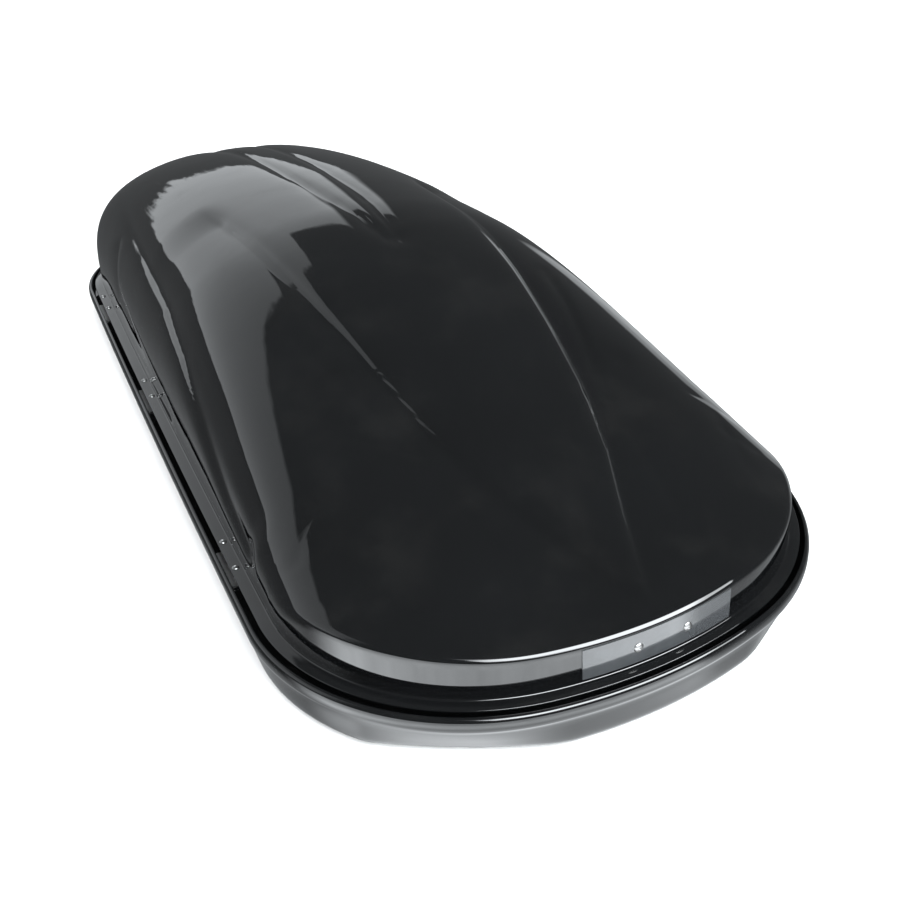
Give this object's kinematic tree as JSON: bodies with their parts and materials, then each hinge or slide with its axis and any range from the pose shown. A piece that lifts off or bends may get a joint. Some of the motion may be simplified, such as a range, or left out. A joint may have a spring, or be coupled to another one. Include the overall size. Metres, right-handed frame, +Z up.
{
  "type": "roof cargo box",
  "caption": "Car roof cargo box: tapered deep tray, domed lid hinged along its left side on gas struts, side lock with a hooked latch bar.",
  "frame": {"origin": "centre of the box's plan, on the underside of the tray", "axes": "+X to the locking side, -Y to the nose, +Y to the tail, +Z up"},
  "size_m": [0.8196, 1.9498, 0.405],
  "materials": {
    "tray_plastic": "gloss black ABS",
    "lid_plastic": "high-gloss black ABS",
    "plate_plastic": "smoked clear plate",
    "seal_rubber": "matt",
    "nylon": "matt black nylon",
    "lock_plastic": "fine-textured black",
    "rivet_steel": "satin",
    "bright_steel": "polished",
    "black_paint": "satin black",
    "zinc_steel": "zinc plated"
  },
  "bodies": {
    "root": {"base_tray": "tray_plastic", "rim_seal": "seal_rubber", "floor_rail_left": "zinc_steel", "floor_rail_right": "zinc_steel", "floor_rail_rivets": "rivet_steel", "hinge_tray_leaf_front": "zinc_steel", "hinge_tray_leaf_middle": "zinc_steel", "hinge_tray_leaf_rear": "zinc_steel", "hinge_tray_rivets": "rivet_steel", "hinge_pins": "bright_steel", "strut_tray_bracket_front": "zinc_steel", "strut_tray_bracket_rear": "zinc_steel", "strut_bracket_rivets": "rivet_steel", "strut_tray_clips": "zinc_steel", "latch_strikers": "zinc_steel", "latch_striker_rivets": "rivet_steel"},
    "lid": {"lid_shell": "lid_plastic", "front_plate": "plate_plastic", "front_plate_rivets": "rivet_steel", "hinge_lid_leaf_front": "zinc_steel", "hinge_lid_leaf_middle": "zinc_steel", "hinge_lid_leaf_rear": "zinc_steel", "hinge_lid_rivets": "rivet_steel", "strut_lid_bracket_front": "zinc_steel", "strut_lid_bracket_rear": "zinc_steel", "strut_lid_clips": "zinc_steel", "latch_guides": "nylon", "latch_guide_screws": "rivet_steel", "lock_housing": "lock_plastic", "lock_nut": "zinc_steel"},
    "lock": {"lock_cylinder": "bright_steel", "lock_cam": "zinc_steel", "key": "bright_steel"},
    "latch": {"latch_bar": "zinc_steel", "latch_hooks": "zinc_steel"},
    "strut_front": {"strut_cylinder_front": "black_paint"},
    "strut_rear": {"strut_cylinder_rear": "black_paint"},
    "strut_rod_front_body": {"strut_rod_front": "bright_steel"},
    "strut_rod_rear_body": {"strut_rod_rear": "bright_steel"}
  },
  "joints": [
    {"name": "lid_hinge", "type": "hinge", "parent": "root", "child": "lid", "pos_m": [-0.35729, 0.0208, 0.0718], "axis": [-0.0462, -0.9989, 0], "range_deg": [0, 50]},
    {"name": "lock_turn", "type": "hinge", "parent": "lid", "child": "lock", "pos_m": [0.35729, 0.0208, 0.112], "axis": [0.9989, 0.0462, 0], "range_deg": [0, 90]},
    {"name": "latch_slide", "type": "slide", "parent": "lid", "child": "latch", "axis": [-0.0462, 0.9989, 0], "range_m": [0, 0.022]},
    {"name": "strut_front_swing", "type": "hinge", "parent": "root", "child": "strut_front", "pos_m": [-0.29913, -0.58254, 0.0258], "axis": [-0.0462, -0.9989, 0], "range_deg": [0, 36.72]},
    {"name": "strut_front_extend", "type": "slide", "parent": "strut_front", "child": "strut_rod_front_body", "axis": [0.15, -0.0069, 0.9887], "range_m": [0, 0.07095]},
    {"name": "strut_rear_swing", "type": "hinge", "parent": "root", "child": "strut_rear", "pos_m": [-0.24365, 0.61618, 0.0258], "axis": [-0.0462, -0.9989, 0], "range_deg": [0, 36.72]},
    {"name": "strut_rear_extend", "type": "slide", "parent": "strut_rear", "child": "strut_rod_rear_body", "axis": [0.15, -0.0069, 0.9887], "range_m": [0, 0.07095]}
  ],
  "couplings": [
    {"joint": "lock_turn", "follows": "latch_slide", "rad_per_m": 71.399},
    {"joint": "strut_front_swing", "follows": "lid_hinge", "ratio": 0.71443},
    {"joint": "strut_front_extend", "follows": "lid_hinge", "m_per_rad": 0.079014},
    {"joint": "strut_rear_swing", "follows": "lid_hinge", "ratio": 0.71443},
    {"joint": "strut_rear_extend", "follows": "lid_hinge", "m_per_rad": 0.079014}
  ]
}
